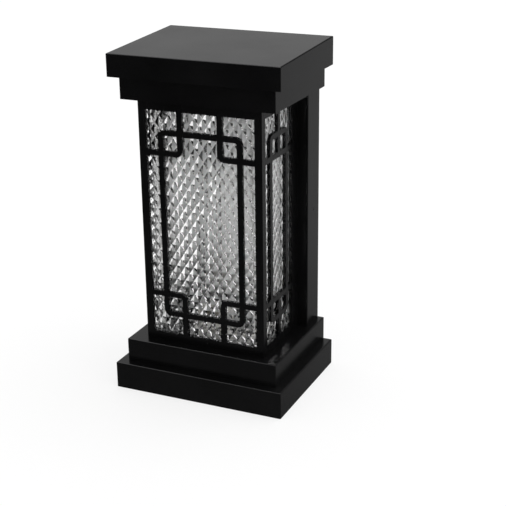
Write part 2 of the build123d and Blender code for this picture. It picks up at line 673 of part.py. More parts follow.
def lampholder_shell():
    top = LAMP_TOP - SHELL_SINK
    tube = rod(0, LAMP_Y, 2 * (SHELL_BORE_RADIUS + SHELL_WALL), top - SHELL_HEIGHT, top)
    return tube - rod(0, LAMP_Y, 2 * SHELL_BORE_RADIUS, top - SHELL_HEIGHT, top)


def lampholder_contact():
    floor = LAMP_FOOT + LAMP_FLOOR
    disc = rod(0, LAMP_Y, 2 * CONTACT_RADIUS, floor, floor + CONTACT_HEIGHT)
    return chamfer(disc.faces().sort_by(Axis.Z)[-1].edges(), CONTACT_HEIGHT / 2)


# Hollow stud and nut that fix the lampholder to its strap
def lampholder_nipple():
    z0 = LAMP_FOOT - STRAP_SHEET - NIPPLE_TAIL
    tube = rod(0, LAMP_Y, 2 * NIPPLE_RADIUS, z0, LAMP_FOOT + NIPPLE_DEPTH)
    return tube - rod(0, LAMP_Y, 2 * NIPPLE_BORE_RADIUS, z0, LAMP_FOOT + NIPPLE_DEPTH)


def nipple_nut():
    top = LAMP_FOOT - STRAP_SHEET
    hexagon = RegularPolygon(NUT_ACROSS_FLATS / 2, 6, major_radius=False)
    nut = extrude(Pos(0, LAMP_Y, top - NUT_HEIGHT) * hexagon, NUT_HEIGHT)
    return nut - rod(0, LAMP_Y, 2 * NIPPLE_RADIUS + THREAD_CLEARANCE, top - NUT_HEIGHT, top)


# Strap: a bent strip hung under the plinth deck
def lampholder_strap():
    y0, y1 = LAMP_Y - STRAP_WIDTH / 2, LAMP_Y + STRAP_WIDTH / 2
    top, floor = LOWER_DECK, LAMP_FOOT
    inner = STRAP_HALF_SPAN - STRAP_SHEET
    strap = block(-STRAP_HALF_SPAN, STRAP_HALF_SPAN, y0, y1, floor - STRAP_SHEET, top)
    strap -= block(-inner, inner, y0, y1, floor, top)
    for side in (-1, 1):
        x0, x1 = sorted((side * STRAP_HALF_SPAN, side * (STRAP_HALF_SPAN + STRAP_FOOT)))
        strap += block(x0, x1, y0, y1, top - STRAP_SHEET, top)
    strap -= rod(0, LAMP_Y, 2 * NIPPLE_RADIUS + SCREW_CLEARANCE, floor - STRAP_SHEET, floor)
    places = [(-STRAP_SCREW_X, LAMP_Y), (STRAP_SCREW_X, LAMP_Y)]
    return strap - rods(places, M4 + SCREW_CLEARANCE, top - STRAP_SHEET, top)


# Leads: from the lampholder's foot, back under the deck and up to the terminal block
def lead(x):
    start = LAMP_Y + lead_start()
    level = LAMP_FOOT + LEAD_RISE
    top = CAGE_FOOT + BLOCK_ABOVE_FLOOR + BLOCK_ENTRY
    route = FilletPolyline(
        (x, start, level), (x, -DUCT_FROM_WALL, level), (x, -DUCT_FROM_WALL, top), radius=LEAD_BEND
    )
    section = Plane((x, start, level), z_dir=(0, 1, 0)) * Circle(LEAD_DIAMETER / 2)
    return sweep(section, path=route)


def live_lead():
    return lead(lead_rows()[0])


def neutral_lead():
    return lead(lead_rows()[1])


# Grommet: a rubber bush through the deck and the floor of the box
def wire_grommet():
    low, high = UPPER_DECK, CAGE_FOOT + WALL
    bush = rod(0, -DUCT_FROM_WALL, GROMMET_NECK, low - GROMMET_LIP, high + GROMMET_LIP)
    bush += rod(0, -DUCT_FROM_WALL, GROMMET_FLANGE, low - GROMMET_LIP, low)
    bush += rod(0, -DUCT_FROM_WALL, GROMMET_FLANGE, high, high + GROMMET_LIP)
    return bush - rod(0, -DUCT_FROM_WALL, GROMMET_BORE, low - GROMMET_LIP, high + GROMMET_LIP)


# Terminal block: two poles side by side, wires in from below and above, screws facing the wall
def terminal_block():
    foot = CAGE_FOOT + BLOCK_ABOVE_FLOOR
    top = foot + BLOCK_HEIGHT
    front = BOX_FRONT + WALL
    body = block(-BLOCK_WIDTH / 2, BLOCK_WIDTH / 2, front, front + BLOCK_DEPTH, foot, top)
    body = chamfer(body.edges().filter_by(Axis.Z).group_by(Axis.Y)[-1], EDGE_RADIUS)
    for x in lead_rows():
        hole = LEAD_DIAMETER + SLIP
        body -= rod(x, -DUCT_FROM_WALL, hole, foot, foot + BLOCK_ENTRY)
        body -= rod(x, -DUCT_FROM_WALL, hole, top - BLOCK_ENTRY, top)
    deep = front + BLOCK_DEPTH + DUCT_FROM_WALL
    for x, z in terminal_places():
        well = Rot(90, 0, 0) * Cylinder((M4 + THREAD_CLEARANCE) / 2, deep)
        body -= Pos(x, deep / 2 - DUCT_FROM_WALL, z) * well
    return body


# The four clamp screws of the terminal block
def terminal_places():
    middle = CAGE_FOOT + BLOCK_ABOVE_FLOOR + BLOCK_HEIGHT / 2
    return [(x, middle + side * BLOCK_SCREW_OFFSET) for x in lead_rows() for side in (-1, 1)]


def terminal_screws():
    tip = LEAD_DIAMETER / 2 + SLIP - DUCT_FROM_WALL
    top = BOX_FRONT + WALL + BLOCK_DEPTH - EDGE_RADIUS
    one = Rot(90, 0, 0) * Cylinder(M4 / 2, top - tip)
    return Compound([Pos(x, (tip + top) / 2, z) * one for x, z in terminal_places()])


# Earth terminal on the box: a screw with a cup washer
def earth_washer():
    ring = Cylinder(EARTH_WASHER_DIAMETER / 2, EARTH_WASHER_THICKNESS)
    ring -= Cylinder((M4 + SCREW_CLEARANCE) / 2, EARTH_WASHER_THICKNESS)
    x, y, z = earth_point()
    return Pos(x, y + EARTH_WASHER_THICKNESS / 2, z) * Rot(90, 0, 0) * ring


def earth_screw():
    one = screw(M4, M4_HEAD, M4_HEAD_HEIGHT, EARTH_WASHER_THICKNESS + EARTH_BOSS_HEIGHT - THREAD_CLEARANCE)
    x, y, z = earth_point()
    return Pos(x, y + EARTH_WASHER_THICKNESS, z) * Rot(-90, 0, 0) * one


# Crossbar: a punched strip with both ends bent forward, slots for the wall screws
def crossbar_bracket():
    half = BOX_WIDTH / 2 - WALL - BAR_END_GAP
    tall = BAR_WIDTH / 2
    strip = block(-half, half, -BAR_TAB, 0, -tall, tall)
    strip = fillet(strip.edges().filter_by(Axis.Z).group_by(Axis.Y)[-1], BAR_BEND + BAR_SHEET)
    inner = half - BAR_SHEET
    core = block(-inner, inner, -BAR_TAB - BAR_SHEET, -BAR_SHEET, -tall, tall)
    strip -= fillet(core.edges().filter_by(Axis.Z).group_by(Axis.Y)[-1], BAR_BEND)
    strip = fillet(strip.edges().filter_by(Axis.X).group_by(Axis.Y)[0], BAR_TAB_CORNER)
    plane = Plane.XZ.offset(0)
    cuts = []
    for side in (-1, 1):
        cuts.append(Pos(side * SLOT_SPACING / 2, 0) * SlotOverall(SLOT_LENGTH, SLOT_WIDTH))
        middle = 90 - side * 90
        arc = CenterArc((0, 0), ARC_SLOT_RADIUS, middle - ARC_SLOT_ANGLE / 2, ARC_SLOT_ANGLE)
        cuts.append(SlotArc(arc, ARC_SLOT_WIDTH))
    for cut in cuts:
        strip -= extrude(plane * cut, BAR_SHEET)
    hole = Rot(0, 90, 0) * Cylinder((LOCK_DIAMETER + THREAD_CLEARANCE) / 2, 2 * half)
    return strip - Pos(0, -lock_depth(), 0) * hole


# Lock screws: socket grub screws in the tabs, wound outwards by key until they jam on the box
def lock_screws():
    half = BOX_WIDTH / 2 - WALL - BAR_END_GAP
    grub = Cylinder(LOCK_DIAMETER / 2, LOCK_LENGTH, align=(Align.CENTER, Align.CENTER, Align.MAX))
    grub = chamfer(grub.edges().group_by(Axis.Z)[-1], LOCK_CHAMFER)
    return Compound(
        [Pos(side * half, -lock_depth(), 0) * Rot(0, side * 90, 0) * grub for side in (-1, 1)]
    )


# Lock plugs: rubber pegs that close the key holes, flush with the box sides
def lock_plugs():
    peg = Rot(0, 90, 0) * Cylinder((KEY_HOLE_DIAMETER - THREAD_CLEARANCE) / 2, WALL)
    x = (BOX_WIDTH - WALL) / 2
    return Compound([Pos(side * x, -lock_depth(), 0) * peg for side in (-1, 1)])


PIECES = [
    back_box, back_gasket, reflector_tray, reflector_screws,
    front_fret, left_fret, right_fret, front_pane, left_pane, right_pane,
    left_tie_rod, right_tie_rod, tie_nuts, head_plate, frame_screws,
    base_upper_tier, base_lower_tier, tier_screws, bottom_cover, cover_screws,
    lampholder_body, lampholder_shell, lampholder_contact, lampholder_nipple, nipple_nut,
    lampholder_strap, strap_screws, wire_grommet, live_lead, neutral_lead,
    terminal_block, terminal_screws, earth_washer, earth_screw,
    roof_collar, roof_slab, collar_screws, roof_screws,
    crossbar_bracket, lock_screws, lock_plugs,
]

os.makedirs("parts", exist_ok=True)
for piece in PIECES:
    export_step(piece(), f"parts/{piece.__name__}.step")
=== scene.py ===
import math

import bmesh
import bpy
from mathutils import Matrix, Vector


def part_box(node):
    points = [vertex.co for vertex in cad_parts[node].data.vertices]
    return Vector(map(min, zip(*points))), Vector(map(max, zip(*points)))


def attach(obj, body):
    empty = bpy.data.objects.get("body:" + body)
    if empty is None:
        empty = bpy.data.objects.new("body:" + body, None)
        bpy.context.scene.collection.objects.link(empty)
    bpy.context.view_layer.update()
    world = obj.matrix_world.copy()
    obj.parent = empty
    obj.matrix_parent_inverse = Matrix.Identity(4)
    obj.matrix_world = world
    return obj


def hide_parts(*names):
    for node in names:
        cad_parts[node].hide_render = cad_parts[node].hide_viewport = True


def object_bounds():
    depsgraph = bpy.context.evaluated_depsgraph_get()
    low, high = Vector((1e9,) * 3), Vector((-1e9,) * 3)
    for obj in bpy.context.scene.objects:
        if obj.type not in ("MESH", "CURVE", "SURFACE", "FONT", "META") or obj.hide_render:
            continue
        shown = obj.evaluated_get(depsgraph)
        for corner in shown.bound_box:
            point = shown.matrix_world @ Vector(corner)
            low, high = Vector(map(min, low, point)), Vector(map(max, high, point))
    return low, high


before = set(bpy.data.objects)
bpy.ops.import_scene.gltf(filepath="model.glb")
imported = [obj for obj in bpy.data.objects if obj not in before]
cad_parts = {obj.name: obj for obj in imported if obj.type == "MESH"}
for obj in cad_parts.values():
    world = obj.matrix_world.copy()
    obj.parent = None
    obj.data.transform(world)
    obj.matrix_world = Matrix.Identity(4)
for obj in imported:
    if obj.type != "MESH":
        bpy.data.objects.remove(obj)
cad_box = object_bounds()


# Back box: a shallow die-cast aluminium tray that stands open against the wall.
# Satin black powder coat, sprayed and baked, with a fine orange-peel skin.
# Every other piece of the lantern is screwed to it.
def new_finish(name, colour, roughness, metallic=0.0):
    material = bpy.data.materials.new(name)
    material.use_nodes = True
    shader = material.node_tree.nodes["Principled BSDF"]
    shader.inputs["Base Color"].default_value = (*colour, 1)
    shader.inputs["Roughness"].default_value = roughness
    shader.inputs["Metallic"].default_value = metallic
    return material, shader


def add_node(tree, kind, **sockets):
    node = tree.nodes.new(kind)
    for socket, value in sockets.items():
        node.inputs[socket.replace("_", " ")].default_value = value
    return node


def grain(material, scale, detail=2.0, stretch=(1, 1, 1)):
    tree = material.node_tree
    place = add_node(tree, "ShaderNodeTexCoord")
    turn = add_node(tree, "ShaderNodeMapping", Scale=stretch)
    noise = add_node(tree, "ShaderNodeTexNoise", Scale=scale, Detail=detail)
    tree.links.new(place.outputs["Object"], turn.inputs["Vector"])
    tree.links.new(turn.outputs["Vector"], noise.inputs["Vector"])
    return noise.outputs["Fac"]


def vary_roughness(material, shader, pattern, low, high):
    tree = material.node_tree
    ranged = add_node(tree, "ShaderNodeMapRange", From_Min=0.3, From_Max=0.7, To_Min=low, To_Max=high)
    tree.links.new(pattern, ranged.inputs["Value"])
    tree.links.new(ranged.outputs["Result"], shader.inputs["Roughness"])


def vary_colour(material, shader, pattern, dark, light):
    tree = material.node_tree
    ramp = add_node(tree, "ShaderNodeValToRGB")
    ramp.color_ramp.elements[0].position = 0.3
    ramp.color_ramp.elements[0].color = (*dark, 1)
    ramp.color_ramp.elements[1].position = 0.7
    ramp.color_ramp.elements[1].color = (*light, 1)
    tree.links.new(pattern, ramp.inputs["Fac"])
    tree.links.new(ramp.outputs["Color"], shader.inputs["Base Color"])


def raise_skin(material, shader, pattern, strength, depth, edge=0.0):
    tree = material.node_tree
    bump = add_node(tree, "ShaderNodeBump", Strength=strength, Distance=depth)
    tree.links.new(pattern, bump.inputs["Height"])
    if edge:
        rounded = add_node(tree, "ShaderNodeBevel", Radius=edge)
        rounded.samples = 4
        tree.links.new(rounded.outputs["Normal"], bump.inputs["Normal"])
    tree.links.new(bump.outputs["Normal"], shader.inputs["Normal"])


def coat(material, *names):
    for name in names:
        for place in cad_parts[name].material_slots:
            place.material = material


powder_coat, shader = new_finish("satin_black_powder_coat", (0.004, 0.004, 0.0042), 0.3)
shader.inputs["Specular IOR Level"].default_value = 0.35
cloud = grain(powder_coat, 22.0, 3.0)
vary_colour(powder_coat, shader, cloud, (0.003, 0.003, 0.0032), (0.005, 0.005, 0.0053))
vary_roughness(powder_coat, shader, cloud, 0.18, 0.26)
raise_skin(powder_coat, shader, grain(powder_coat, 900.0), 0.1, 0.00012, edge=0.0004)
coat(powder_coat, "back_box")

# Back seal: a strip of closed-cell foam stuck in the mouth of the box in two lengths.
# Dull dark grey, with pores along its faces.
foam, shader = new_finish("closed_cell_foam", (0.03, 0.03, 0.031), 0.95)
pores = grain(foam, 1400.0, 4.0)
vary_colour(foam, shader, pores, (0.016, 0.016, 0.017), (0.05, 0.05, 0.052))
raise_skin(foam, shader, pores, 0.8, 0.0004)
coat(foam, "back_gasket")

# Reflector: a bent sheet of satin aluminium over the front of the box.
# Rolled finish with fine upright lines and faint smudges.
aluminium, shader = new_finish("satin_aluminium", (0.91, 0.91, 0.91), 0.35, 1.0)
lines = grain(aluminium, 260.0, 3.0, (6, 6, 0.12))
vary_colour(aluminium, shader, grain(aluminium, 30.0), (0.88, 0.88, 0.88), (0.94, 0.94, 0.94))
vary_roughness(aluminium, shader, lines, 0.28, 0.42)
raise_skin(aluminium, shader, lines, 0.12, 0.00005)
coat(aluminium, "reflector_tray")

# Reflector screws: turned stainless pan heads with a cross recess and a rolled thread,
# driven through the sheet into the box. The same pattern serves all the machine screws.
stainless, shader = new_finish("stainless_steel", (0.58, 0.58, 0.57), 0.28, 1.0)
turning = grain(stainless, 1800.0, 2.0, (1, 1, 3))
vary_colour(stainless, shader, turning, (0.5, 0.5, 0.49), (0.66, 0.66, 0.65))
vary_roughness(stainless, shader, turning, 0.2, 0.38)
raise_skin(stainless, shader, turning, 0.1, 0.00003)

MM = 0.001
WELD = 1e-7


def turned(bm, profile, steps):
    ring = [bm.verts.new((r * MM, 0, z * MM)) for r, z in profile]
    edges = [bm.edges.new(pair) for pair in zip(ring, ring[1:])]
    bmesh.ops.spin(
        bm, geom=ring + edges, cent=(0, 0, 0), axis=(0, 0, 1), angle=math.tau, steps=steps, use_merge=True
    )
    bmesh.ops.remove_doubles(bm, verts=bm.verts, dist=WELD)


def cross_key(bm, narrow, wide, top):
    key = bmesh.ops.create_grid(bm, x_segments=3, y_segments=3, size=1)["verts"]
    inner_row = 1 / 3
    for v in key:
        x = math.copysign(wide if abs(v.co.x) > 2 * inner_row else narrow, v.co.x)
        y = math.copysign(wide if abs(v.co.y) > 2 * inner_row else narrow, v.co.y)
        v.co = (x * MM, y * MM, top * MM)
    faces = {f for v in key for f in v.link_faces}
    corners = [f for f in faces if min(abs(f.calc_center_median()[k]) for k in (0, 1)) > narrow * MM / 2]
    bmesh.ops.delete(bm, geom=corners, context="FACES")
    return [f for f in faces if f.is_valid]


def sink_key(bm, faces, top, depth, taper):
    inside = {v for f in faces for v in f.verts}
    border = [e for f in faces for e in f.edges if e.is_boundary]
    rim = [
        e for e in bm.edges
        if e.is_boundary and not inside & set(e.verts) and all(abs(v.co.z - top * MM) < WELD for v in e.verts)
    ]
    bmesh.ops.bridge_loops(bm, edges=rim + border)
    floor = bmesh.ops.extrude_face_region(bm, geom=faces)["geom"]
    floor = [v for v in floor if isinstance(v, bmesh.types.BMVert)]
    bmesh.ops.delete(bm, geom=[f for f in faces if f.is_valid], context="FACES_ONLY")
    bmesh.ops.scale(bm, vec=(taper, taper, 1), verts=floor)
    bmesh.ops.translate(bm, vec=(0, 0, -depth * MM), verts=floor)


def kept(bm, name):
    bmesh.ops.remove_doubles(bm, verts=bm.verts, dist=WELD)
    bmesh.ops.recalc_face_normals(bm, faces=bm.faces)
    mesh = bpy.data.meshes.new(name)
    bm.to_mesh(mesh)
    bm.free()
    return mesh


def pan_screw(thread, head, height, length):
    bm = bmesh.new()
    pitch = thread * 0.18
    core = thread / 2 - pitch / 2
    point = 0.3
    profile = [(0, -length), (core * 0.7, -length), (core, -length + point)]
    for turn in range(int((length - 2 * point) / pitch)):
        low = -length + point + turn * pitch
        profile += [(thread / 2, low + pitch / 2), (core, low + pitch)]
    profile += [
        (core, 0), (head / 2 - 0.1, 0), (head / 2, 0.15), (head / 2, height * 0.45),
        (head / 2 - 0.25, height * 0.75), (head / 2 - 0.75, height * 0.95), (head * 0.34, height),
    ]
    turned(bm, profile, steps=24)
    recess = cross_key(bm, narrow=head * 0.065, wide=head * 0.25, top=height)
    sink_key(bm, recess, height, depth=height * 0.6, taper=0.55)
    return kept(bm, "pan_screw")


def seats(node, head, height, facing):
    low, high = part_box(node)
    spans = []
    for k in range(3):
        if facing[k]:
            tip = high[k] if facing[k] > 0 else low[k]
            spans.append([tip - facing[k] * height * MM])
        else:
            spans.append(sorted({round(low[k] + head / 2 * MM, 5), round(high[k] - head / 2 * MM, 5)}))
    turn = Vector(facing).to_track_quat("Z", "Y").to_matrix().to_4x4()
    return [Matrix.Translation((x, y, z)) @ turn for x in spans[0] for y in spans[1] for z in spans[2]]


def fit_pieces(node, pattern, places, material, body):
    bm = bmesh.new()
    for place in places:
        count = len(bm.verts)
        bm.from_mesh(pattern)
        bm.verts.ensure_lookup_table()
        bmesh.ops.transform(bm, matrix=place, verts=bm.verts[count:])
    piece = bpy.data.objects.new(node + "_made", kept(bm, node))
    piece.data.materials.append(material)
    bpy.context.scene.collection.objects.link(piece)
    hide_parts(node)
    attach(piece, body)


SMALL_THREAD, SMALL_HEAD, SMALL_RISE = 3.0, 5.6, 1.7
LARGE_THREAD, LARGE_HEAD, LARGE_RISE = 4.0, 7.5, 2.6
UP, DOWN, FRONT, WALLWARD = (0, 0, 1), (0, 0, -1), (0, -1, 0), (0, 1, 0)
fit_pieces(
    "reflector_screws", pan_screw(SMALL_THREAD, SMALL_HEAD, SMALL_RISE, length=2.8),
    seats("reflector_screws", SMALL_HEAD, SMALL_RISE, FRONT), stainless, "lantern",
)

# Terminal block: two poles moulded in off-white plastic on the floor of the box.
# Brass clamp screws with a driver slot sit in wells that face the wall.
block_plastic, shader = new_finish("block_plastic", (0.72, 0.7, 0.63), 0.5)
cloud = grain(block_plastic, 90.0, 3.0)
vary_colour(block_plastic, shader, cloud, (0.68, 0.66, 0.59), (0.76, 0.74, 0.67))
vary_roughness(block_plastic, shader, cloud, 0.42, 0.58)
raise_skin(block_plastic, shader, grain(block_plastic, 1500.0), 0.1, 0.0001)
coat(block_plastic, "terminal_block")

brass, shader = new_finish("turned_brass", (0.72, 0.5, 0.2), 0.3, 1.0)
turning = grain(brass, 1600.0, 2.0, (1, 1, 3))
vary_colour(brass, shader, turning, (0.62, 0.42, 0.16), (0.8, 0.58, 0.26))
vary_roughness(brass, shader, turning, 0.22, 0.4)
raise_skin(brass, shader, turning, 0.1, 0.00003)


def slot_screw(thread, length):
    bm = bmesh.new()
    r = thread / 2
    point, rim = 0.2, 0.3
    profile = [(0, -length), (r - point, -length), (r, -length + point), (r, -rim), (r - rim, 0)]
    turned(bm, profile, steps=20)
    key = bmesh.ops.create_grid(bm, x_segments=1, y_segments=1, size=MM)["verts"]
    bmesh.ops.scale(bm, vec=(0.3, r - 2 * rim, 1), verts=key)
    faces = list({f for v in key for f in v.link_faces})
    sink_key(bm, faces, 0, depth=0.7, taper=1.0)
    return kept(bm, "slot_screw")


CLAMP = 4.0
low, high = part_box("terminal_screws")
fit_pieces(
    "terminal_screws", slot_screw(CLAMP, length=(high.y - low.y) / MM),
    seats("terminal_screws", CLAMP, 0, WALLWARD), brass, "lantern",
)

# Earth terminal: a brass screw and cup washer on a boss of the box.
# The screw has the same cross recess as the steel ones.
coat(brass, "earth_washer")
fit_pieces(
    "earth_screw", pan_screw(LARGE_THREAD, LARGE_HEAD, LARGE_RISE, length=7.9),
    seats("earth_screw", LARGE_HEAD, LARGE_RISE, WALLWARD), brass, "lantern",
)

# Grommet and leads: a soft black bush through the deck, and two single insulated wires
# that run through it from the lampholder to the block.
rubber, shader = new_finish("black_rubber", (0.018, 0.018, 0.018), 0.72)
bloom = grain(rubber, 160.0, 4.0)
vary_colour(rubber, shader, bloom, (0.012, 0.012, 0.012), (0.028, 0.028, 0.028))
vary_roughness(rubber, shader, bloom, 0.62, 0.85)
raise_skin(rubber, shader, grain(rubber, 1200.0), 0.15, 0.0001)
coat(rubber, "wire_grommet")
for name, dark, light in (
    ("live_lead", (0.075, 0.03, 0.012), (0.11, 0.046, 0.018)),
    ("neutral_lead", (0.02, 0.07, 0.3), (0.03, 0.1, 0.38)),
):
    insulation, shader = new_finish(name + "_insulation", light, 0.42)
    cloud = grain(insulation, 240.0, 3.0)
    vary_colour(insulation, shader, cloud, dark, light)
    vary_roughness(insulation, shader, cloud, 0.36, 0.5)
    coat(insulation, name)

# Fretwork: three flat lattices cut from aluminium plate and coated like the box.
# Tongues on their ends drop into slots in the deck and the head plate.
coat(powder_coat, "front_fret", "left_fret", "right_fret")

# Panes: clear pressed glass, smooth outside, with rows of pointed diamonds sunk into the inner
# face. They stand between the frets and the lips of the deck and the head plate.
glass, shader = new_finish("pressed_clear_glass", (0.985, 0.985, 0.985), 0.01)
shader.inputs["Transmission Weight"].default_value = 1.0
shader.inputs["IOR"].default_value = 1.5
ripple = grain(glass, 140.0, 2.0)
vary_roughness(glass, shader, ripple, 0.0, 0.02)
raise_skin(glass, shader, ripple, 0.01, 0.0006)
coat(glass, "front_pane", "left_pane", "right_pane")

# Tie rods: threaded stainless rods in the two front corners, with a nut on each end.
# They pull the head plate down on the cage.
coat(stainless, "left_tie_rod", "right_tie_rod", "tie_nuts")

# Base: two cast trays, the upper one screwed to the lower one from below.
# Same coating as the box, with softened rims.
coat(powder_coat, "base_upper_tier", "base_lower_tier")
fit_pieces(
    "tier_screws", pan_screw(LARGE_THREAD, LARGE_HEAD, LARGE_RISE, length=10.0),
    seats("tier_screws", LARGE_HEAD, LARGE_RISE, DOWN), stainless, "lantern",
)

# Lampholder: a glazed porcelain cup with a rolled screw shell and a centre contact, both
# nickel plated. It hangs on a zinc plated strap by a hollow stud and a nut.
porcelain, shader = new_finish("glazed_porcelain", (0.85, 0.83, 0.78), 0.12)
cloud = grain(porcelain, 60.0, 3.0)
vary_colour(porcelain, shader, cloud, (0.82, 0.8, 0.75), (0.88, 0.86, 0.82))
vary_roughness(porcelain, shader, cloud, 0.08, 0.18)
raise_skin(porcelain, shader, grain(porcelain, 300.0), 0.04, 0.0002)
coat(porcelain, "lampholder_body")
nickel, shader = new_finish("nickel_plate", (0.6, 0.58, 0.54), 0.24, 1.0)
cloud = grain(nickel, 70.0, 3.0)
vary_colour(nickel, shader, cloud, (0.54, 0.52, 0.48), (0.66, 0.64, 0.6))
vary_roughness(nickel, shader, cloud, 0.18, 0.32)
coat(nickel, "lampholder_contact")


def rolled_shell(bore, wall, height, pitch, steps):
    bm = bmesh.new()
    wave = (0, 0.35, 0.6, 0.35)
    count = int(height / pitch * len(wave)) + 2 * len(wave)
    line = [
        bm.verts.new(((bore + wave[k % len(wave)]) * MM, 0, (k * pitch / len(wave) - 2 * pitch) * MM))
        for k in range(count)
    ]
    edges = [bm.edges.new(pair) for pair in zip(line, line[1:])]
    bmesh.ops.spin(
        bm, geom=line + edges, cent=(0, 0, 0), axis=(0, 0, 1), angle=math.tau, steps=steps,
        dvec=(0, 0, pitch * MM / steps), use_merge=False,
    )
    bmesh.ops.remove_doubles(bm, verts=bm.verts, dist=10 * WELD)
    for level, side in ((0, -1), (height, 1)):
        bmesh.ops.bisect_plane(
            bm, geom=bm.verts[:] + bm.edges[:] + bm.faces[:], dist=WELD,
            plane_co=(0, 0, level * MM), plane_no=(0, 0, side), clear_outer=True,
        )
    bmesh.ops.recalc_face_normals(bm, faces=bm.faces)
    bmesh.ops.solidify(bm, geom=bm.faces[:], thickness=wall * MM)
    return kept(bm, "rolled_shell")


low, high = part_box("lampholder_shell")
middle = (low + high) / 2
fit_pieces(
    "lampholder_shell", rolled_shell(bore=13.2, wall=0.35, height=(high.z - low.z) / MM, pitch=3.6, steps=48),
    [Matrix.Translation((middle.x, middle.y, low.z))], nickel, "lantern",
)

zinc, shader = new_finish("bright_zinc_plate", (0.74, 0.76, 0.79), 0.44, 1.0)
lines = grain(zinc, 300.0, 3.0, (0.1, 5, 5))
vary_colour(zinc, shader, grain(zinc, 55.0, 3.0), (0.68, 0.7, 0.73), (0.8, 0.82, 0.85))
vary_roughness(zinc, shader, lines, 0.36, 0.52)
raise_skin(zinc, shader, lines, 0.1, 0.00005, edge=0.0003)
coat(zinc, "lampholder_strap", "lampholder_nipple", "nipple_nut")
fit_pieces(
    "strap_screws", pan_screw(LARGE_THREAD, LARGE_HEAD, LARGE_RISE, length=3.5),
    seats("strap_screws", LARGE_HEAD, LARGE_RISE, DOWN), stainless, "lantern",
)

# Bottom cover: a coated steel sheet set up inside the lower tray, with weep holes.
# Four small screws hold it to the bosses of the tray.
coat(powder_coat, "bottom_cover")
fit_pieces(
    "cover_screws", pan_screw(SMALL_THREAD, SMALL_HEAD, SMALL_RISE, length=9.5),
    seats("cover_screws", SMALL_HEAD, SMALL_RISE, DOWN), stainless, "lantern",
)

# Head plate: a coated plate that clamps the cage and closes the eaves.
# Screws at the back tie the plate and the deck to the box.
coat(powder_coat, "head_plate")
fit_pieces(
    "frame_screws", pan_screw(LARGE_THREAD, LARGE_HEAD, LARGE_RISE, length=10.0),
    seats("frame_screws", LARGE_HEAD, LARGE_RISE, UP) + seats("frame_screws", LARGE_HEAD, LARGE_RISE, DOWN),
    stainless, "lantern",
)

# Roof: a hollow cast slab with a slight fall, screwed down on a collar with a flange.
# Four black screws under the eaves hold the collar to the head plate.
coat(powder_coat, "roof_slab", "roof_collar")
fit_pieces(
    "collar_screws", pan_screw(LARGE_THREAD, LARGE_HEAD, LARGE_RISE, length=10.0),
    seats("collar_screws", LARGE_HEAD, LARGE_RISE, DOWN), stainless, "roof",
)
black_steel, shader = new_finish("blackened_steel", (0.012, 0.012, 0.013), 0.36)
turning = grain(black_steel, 1800.0, 2.0)
vary_colour(black_steel, shader, turning, (0.008, 0.008, 0.009), (0.02, 0.02, 0.021))
vary_roughness(black_steel, shader, turning, 0.3, 0.45)
raise_skin(black_steel, shader, turning, 0.1, 0.00003)
fit_pieces(
    "roof_screws", pan_screw(LARGE_THREAD, LARGE_HEAD, LARGE_RISE, length=10.0),
    seats("roof_screws", LARGE_HEAD, LARGE_RISE, DOWN), black_steel, "lantern",
)

# Crossbar: a punched strip of zinc plated steel, its ends bent towards the room.
# Socket grub screws in the ends jam against the box, through key holes with rubber plugs.
coat(zinc, "crossbar_bracket")
coat(rubber, "lock_plugs")


def grub_screw(thread, length):
    bm = bmesh.new()
    r = thread / 2
    pitch = 0.8
    core = r - pitch / 2
    point, rim, socket = 0.4, 0.8, 1.44
    profile = [(0, -length), (r - rim, -length), (core, -length + point)]
    for turn in range(int((length - point - rim) / pitch)):
        low = -length + point + turn * pitch
        profile += [(r, low + pitch / 2), (core, low + pitch)]
    profile += [(r, -rim), (r - rim, 0)]
    turned(bm, profile, steps=24)
    key = bmesh.ops.create_circle(bm, cap_ends=True, segments=6, radius=socket * MM)["verts"]
    faces = list({f for v in key for f in v.link_faces})
    sink_key(bm, faces, 0, depth=2.2, taper=1.0)
    return kept(bm, "grub_screw")


LOCK = 5.0
low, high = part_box("lock_screws")
middle = (low + high) / 2
fit_pieces(
    "lock_screws", grub_screw(LOCK, length=5.0),
    [
        Matrix.Translation((x, middle.y, middle.z)) @ Matrix.Rotation(math.copysign(math.pi / 2, x), 4, "Y")
        for x in (low.x, high.x)
    ],
    stainless, "crossbar",
)

# Studio: a wide pale floor under the lantern and a white surround, with a broad soft key overhead.
# In gloss both are dark towards the camera, as a room behind a camera is, and the surround is
# bright only at the back left and overhead.
FLOOR_HALF = 12
GLOSS_DARK = 0.025
scene = bpy.context.scene
scene.view_settings.view_transform = "Standard"
scene.cycles.max_bounces = 32
scene.cycles.glossy_bounces = 16
scene.cycles.transmission_bounces = 24
bm = bmesh.new()
bmesh.ops.create_grid(bm, x_segments=1, y_segments=1, size=FLOOR_HALF)
bmesh.ops.translate(bm, vec=(0, 0, cad_box[0].z), verts=bm.verts)
floor = bpy.data.objects.new("studio_floor", kept(bm, "studio_floor"))
scene.collection.objects.link(floor)
pale, shader = new_finish("pale_floor", (0.88, 0.88, 0.88), 0.9)
shader.inputs["Specular IOR Level"].default_value = 0.0
floor.data.materials.append(pale)
tree = pale.node_tree
ray = add_node(tree, "ShaderNodeLightPath")
place = add_node(tree, "ShaderNodeTexCoord")
parts = add_node(tree, "ShaderNodeSeparateXYZ")
tree.links.new(place.outputs["Object"], parts.inputs["Vector"])
